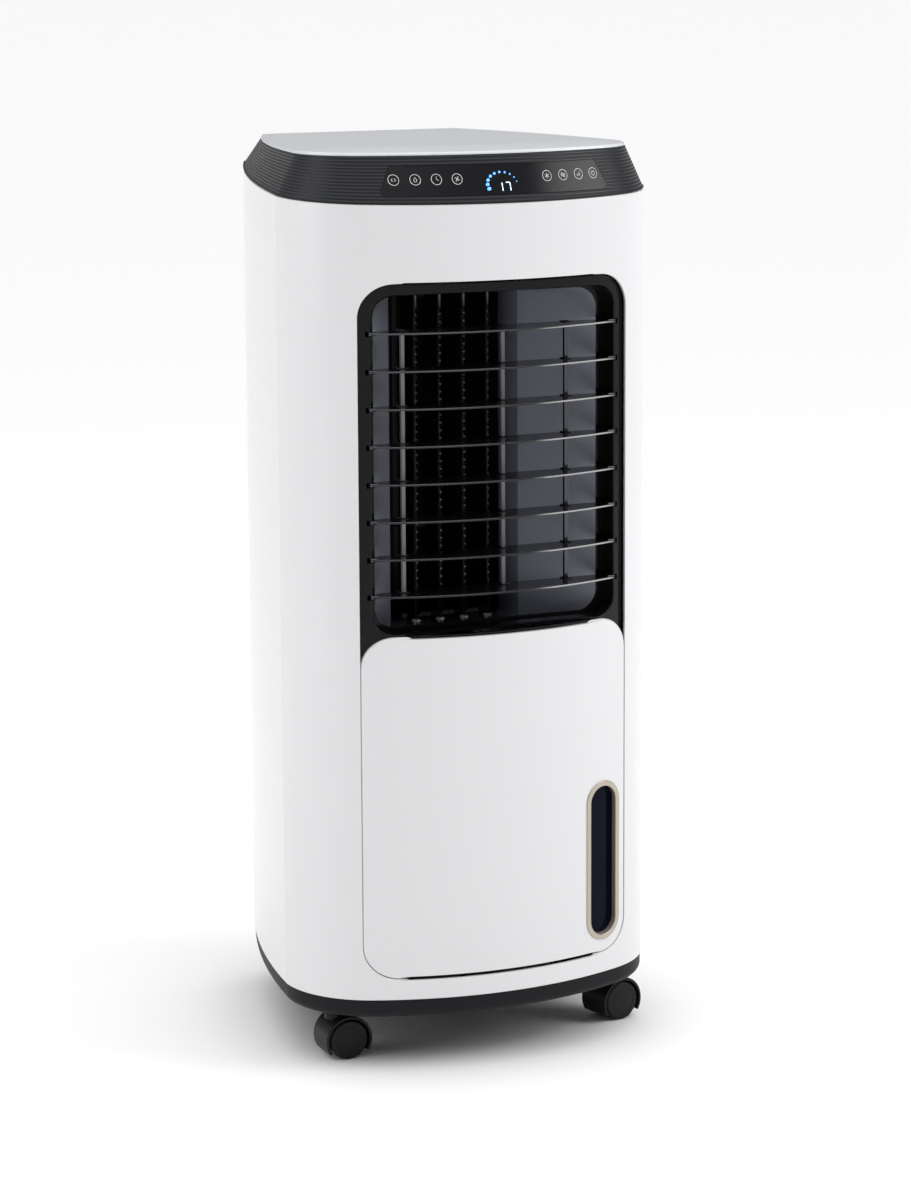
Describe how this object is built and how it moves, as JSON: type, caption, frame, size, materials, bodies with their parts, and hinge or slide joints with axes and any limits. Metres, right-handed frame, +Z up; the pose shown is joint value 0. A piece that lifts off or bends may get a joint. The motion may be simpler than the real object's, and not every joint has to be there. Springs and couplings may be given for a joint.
{
  "type": "portable evaporative air cooler",
  "caption": "Upright room air cooler with bowed front, louvred outlet, lower panel with level window, ribbed top band and twin-wheel casters.",
  "frame": {"origin": "on the floor under the middle of the cabinet's overall box", "axes": "+Z up, the outlet and control panel face -Y, +X to the right seen from above with the front at the bottom"},
  "size_m": [0.384, 0.395, 0.9068],
  "materials": {
    "white_shell": "glossy white moulded ABS with a very fine mould texture",
    "charcoal_band": "satin charcoal moulded plastic with fine horizontal ribs",
    "black_gloss": "glossy black moulded plastic",
    "black_satin": "satin black moulded plastic",
    "control_gloss": "smooth near-black touch panel",
    "icon_ink": "printed white icons",
    "display_blue": "lit blue indicator dots",
    "champagne_trim": "champagne painted trim",
    "navy_lens": "dark tinted clear lens",
    "steel": "bright steel",
    "grey_plastic": "plain grey moulded plastic",
    "circuit_board": "green solder mask",
    "pad_fibre": "corrugated cellulose honeycomb",
    "filter_mesh": "fine nylon mesh",
    "tank_plastic": "translucent moulded polypropylene"
  },
  "bodies": {
    "cabinet": {"base_tray": "black_satin", "front_shell": "white_shell", "rear_shell": "white_shell", "outlet_surround": "black_gloss", "air_duct": "black_gloss", "lower_front_panel": "white_shell", "window_bezel": "champagne_trim", "window_lens": "navy_lens", "top_band": "charcoal_band", "top_lid": "white_shell", "control_panel": "control_gloss", "control_board": "circuit_board", "ioniser_module": "grey_plastic", "fan_housing": "black_gloss", "fan_motor": "steel", "swing_motor": "steel", "tank_bay_shelf": "white_shell", "cooling_pad": "pad_fibre", "water_trough": "white_shell", "cord_gland": "black_satin"},
    "louvre_1": {"louvre_1": "black_gloss"},
    "louvre_2": {"louvre_2": "black_gloss"},
    "louvre_3": {"louvre_3": "black_gloss"},
    "louvre_4": {"louvre_4": "black_gloss"},
    "louvre_5": {"louvre_5": "black_gloss"},
    "louvre_6": {"louvre_6": "black_gloss"},
    "louvre_7": {"louvre_7": "black_gloss"},
    "louvre_8": {"louvre_8": "black_gloss"},
    "louvre_links": {"louvre_link_left": "grey_plastic", "louvre_link_centre": "grey_plastic", "louvre_link_right": "grey_plastic"},
    "swing_vane_1": {"swing_vane_1": "black_gloss"},
    "swing_vane_2": {"swing_vane_2": "black_gloss"},
    "swing_vane_3": {"swing_vane_3": "black_gloss"},
    "swing_vane_4": {"swing_vane_4": "black_gloss"},
    "swing_vane_link": {"swing_vane_link": "grey_plastic"},
    "fan": {"fan_rotor": "black_satin"},
    "rear_grille": {"rear_grille": "white_shell", "dust_filter": "filter_mesh"},
    "water_tank": {"water_tank": "tank_plastic", "water_pump": "black_satin"},
    "tank_latch": {"tank_latch": "white_shell"},
    "caster_fl": {"caster_fl_hood": "black_satin", "caster_fl_axle": "steel"},
    "caster_fl_wheel_outer": {"caster_fl_wheel_outer": "black_satin"},
    "caster_fl_wheel_inner": {"caster_fl_wheel_inner": "black_satin"},
    "caster_fr": {"caster_fr_hood": "black_satin", "caster_fr_axle": "steel"},
    "caster_fr_wheel_outer": {"caster_fr_wheel_outer": "black_satin"},
    "caster_fr_wheel_inner": {"caster_fr_wheel_inner": "black_satin"},
    "caster_rl": {"caster_rl_hood": "black_satin", "caster_rl_axle": "steel"},
    "caster_rl_wheel_outer": {"caster_rl_wheel_outer": "black_satin"},
    "caster_rl_wheel_inner": {"caster_rl_wheel_inner": "black_satin"},
    "caster_rr": {"caster_rr_hood": "black_satin", "caster_rr_axle": "steel"},
    "caster_rr_wheel_outer": {"caster_rr_wheel_outer": "black_satin"},
    "caster_rr_wheel_inner": {"caster_rr_wheel_inner": "black_satin"}
  },
  "joints": [
    {"name": "louvre_1_tilt", "type": "hinge", "parent": "cabinet", "child": "louvre_1", "pos_m": [0, -0.1645, 0.73169], "axis": [1, 0, 0], "range_deg": [-30, 30]},
    {"name": "louvre_2_tilt", "type": "hinge", "parent": "cabinet", "child": "louvre_2", "pos_m": [0, -0.1645, 0.69508], "axis": [1, 0, 0], "range_deg": [-30, 30]},
    {"name": "louvre_3_tilt", "type": "hinge", "parent": "cabinet", "child": "louvre_3", "pos_m": [0, -0.1645, 0.65847], "axis": [1, 0, 0], "range_deg": [-30, 30]},
    {"name": "louvre_4_tilt", "type": "hinge", "parent": "cabinet", "child": "louvre_4", "pos_m": [0, -0.1645, 0.62186], "axis": [1, 0, 0], "range_deg": [-30, 30]},
    {"name": "louvre_5_tilt", "type": "hinge", "parent": "cabinet", "child": "louvre_5", "pos_m": [0, -0.1645, 0.58524], "axis": [1, 0, 0], "range_deg": [-30, 30]},
    {"name": "louvre_6_tilt", "type": "hinge", "parent": "cabinet", "child": "louvre_6", "pos_m": [0, -0.1645, 0.54863], "axis": [1, 0, 0], "range_deg": [-30, 30]},
    {"name": "louvre_7_tilt", "type": "hinge", "parent": "cabinet", "child": "louvre_7", "pos_m": [0, -0.1645, 0.51202], "axis": [1, 0, 0], "range_deg": [-30, 30]},
    {"name": "louvre_8_tilt", "type": "hinge", "parent": "cabinet", "child": "louvre_8", "pos_m": [0, -0.1645, 0.47541], "axis": [1, 0, 0], "range_deg": [-30, 30]},
    {"name": "louvre_links_pivot", "type": "hinge", "parent": "louvre_1", "child": "louvre_links", "pos_m": [0, -0.155, 0.73169], "axis": [1, 0, 0], "range_deg": [-30, 30]},
    {"name": "swing_vane_1_turn", "type": "hinge", "parent": "cabinet", "child": "swing_vane_1", "pos_m": [-0.03915, -0.06, 0.59], "axis": [0, 0, 1], "range_deg": [-25, 25]},
    {"name": "swing_vane_2_turn", "type": "hinge", "parent": "cabinet", "child": "swing_vane_2", "pos_m": [-0.01305, -0.06, 0.59], "axis": [0, 0, 1], "range_deg": [-25, 25]},
    {"name": "swing_vane_3_turn", "type": "hinge", "parent": "cabinet", "child": "swing_vane_3", "pos_m": [0.01305, -0.06, 0.59], "axis": [0, 0, 1], "range_deg": [-25, 25]},
    {"name": "swing_vane_4_turn", "type": "hinge", "parent": "cabinet", "child": "swing_vane_4", "pos_m": [0.03915, -0.06, 0.59], "axis": [0, 0, 1], "range_deg": [-25, 25]},
    {"name": "swing_vane_link_pivot", "type": "hinge", "parent": "swing_vane_1", "child": "swing_vane_link", "pos_m": [-0.03915, -0.032, 0.426], "axis": [0, 0, 1], "range_deg": [-25, 25]},
    {"name": "fan_spin", "type": "hinge", "parent": "cabinet", "child": "fan", "pos_m": [0, 0.0425, 0.59], "axis": [0, 0, 1], "continuous": true},
    {"name": "rear_grille_tilt", "type": "hinge", "parent": "cabinet", "child": "rear_grille", "pos_m": [0, 0.194, 0.352], "axis": [-1, 0, 0], "range_deg": [0, 35]},
    {"name": "water_tank_slide", "type": "slide", "parent": "cabinet", "child": "water_tank", "axis": [0, 1, 0], "range_m": [0, 0.25]},
    {"name": "tank_latch_turn", "type": "hinge", "parent": "cabinet", "child": "tank_latch", "pos_m": [0, 0.195, 0.303], "axis": [0, 1, 0], "range_deg": [0, 180]},
    {"name": "caster_fl_swivel", "type": "hinge", "parent": "cabinet", "child": "caster_fl", "pos_m": [-0.15, -0.1055, 0.05], "axis": [0, 0, 1], "continuous": true},
    {"name": "caster_fl_roll_outer", "type": "hinge", "parent": "caster_fl", "child": "caster_fl_wheel_outer", "pos_m": [-0.141, -0.1055, 0.02], "axis": [0, 1, 0], "continuous": true},
    {"name": "caster_fl_roll_inner", "type": "hinge", "parent": "caster_fl", "child": "caster_fl_wheel_inner", "pos_m": [-0.141, -0.1055, 0.02], "axis": [0, 1, 0], "continuous": true},
    {"name": "caster_fr_swivel", "type": "hinge", "parent": "cabinet", "child": "caster_fr", "pos_m": [0.15, -0.1055, 0.05], "axis": [0, 0, 1], "continuous": true},
    {"name": "caster_fr_roll_outer", "type": "hinge", "parent": "caster_fr", "child": "caster_fr_wheel_outer", "pos_m": [0.15877, -0.10347, 0.02], "axis": [-0.225, 0.9744, 0], "continuous": true},
    {"name": "caster_fr_roll_inner", "type": "hinge", "parent": "caster_fr", "child": "caster_fr_wheel_inner", "pos_m": [0.15877, -0.10347, 0.02], "axis": [-0.225, 0.9744, 0], "continuous": true},
    {"name": "caster_rl_swivel", "type": "hinge", "parent": "cabinet", "child": "caster_rl", "pos_m": [-0.088, 0.1025, 0.05], "axis": [0, 0, 1], "continuous": true},
    {"name": "caster_rl_roll_outer", "type": "hinge", "parent": "caster_rl", "child": "caster_rl_wheel_outer", "pos_m": [-0.08378, 0.11045, 0.02], "axis": [-0.8829, 0.4695, 0], "continuous": true},
    {"name": "caster_rl_roll_inner", "type": "hinge", "parent": "caster_rl", "child": "caster_rl_wheel_inner", "pos_m": [-0.08378, 0.11045, 0.02], "axis": [-0.8829, 0.4695, 0], "continuous": true},
    {"name": "caster_rr_swivel", "type": "hinge", "parent": "cabinet", "child": "caster_rr", "pos_m": [0.088, 0.1025, 0.05], "axis": [0, 0, 1], "continuous": true},
    {"name": "caster_rr_roll_outer", "type": "hinge", "parent": "caster_rr", "child": "caster_rr_wheel_outer", "pos_m": [0.09402, 0.09581, 0.02], "axis": [0.7431, 0.6691, 0], "continuous": true},
    {"name": "caster_rr_roll_inner", "type": "hinge", "parent": "caster_rr", "child": "caster_rr_wheel_inner", "pos_m": [0.09402, 0.09581, 0.02], "axis": [0.7431, 0.6691, 0], "continuous": true}
  ],
  "couplings": [
    {"joint": "louvre_2_tilt", "follows": "louvre_1_tilt", "ratio": 1},
    {"joint": "louvre_3_tilt", "follows": "louvre_1_tilt", "ratio": 1},
    {"joint": "louvre_4_tilt", "follows": "louvre_1_tilt", "ratio": 1},
    {"joint": "louvre_5_tilt", "follows": "louvre_1_tilt", "ratio": 1},
    {"joint": "louvre_6_tilt", "follows": "louvre_1_tilt", "ratio": 1},
    {"joint": "louvre_7_tilt", "follows": "louvre_1_tilt", "ratio": 1},
    {"joint": "louvre_8_tilt", "follows": "louvre_1_tilt", "ratio": 1},
    {"joint": "louvre_links_pivot", "follows": "louvre_1_tilt", "ratio": -1},
    {"joint": "swing_vane_2_turn", "follows": "swing_vane_1_turn", "ratio": 1},
    {"joint": "swing_vane_3_turn", "follows": "swing_vane_1_turn", "ratio": 1},
    {"joint": "swing_vane_4_turn", "follows": "swing_vane_1_turn", "ratio": 1},
    {"joint": "swing_vane_link_pivot", "follows": "swing_vane_1_turn", "ratio": -1}
  ]
}
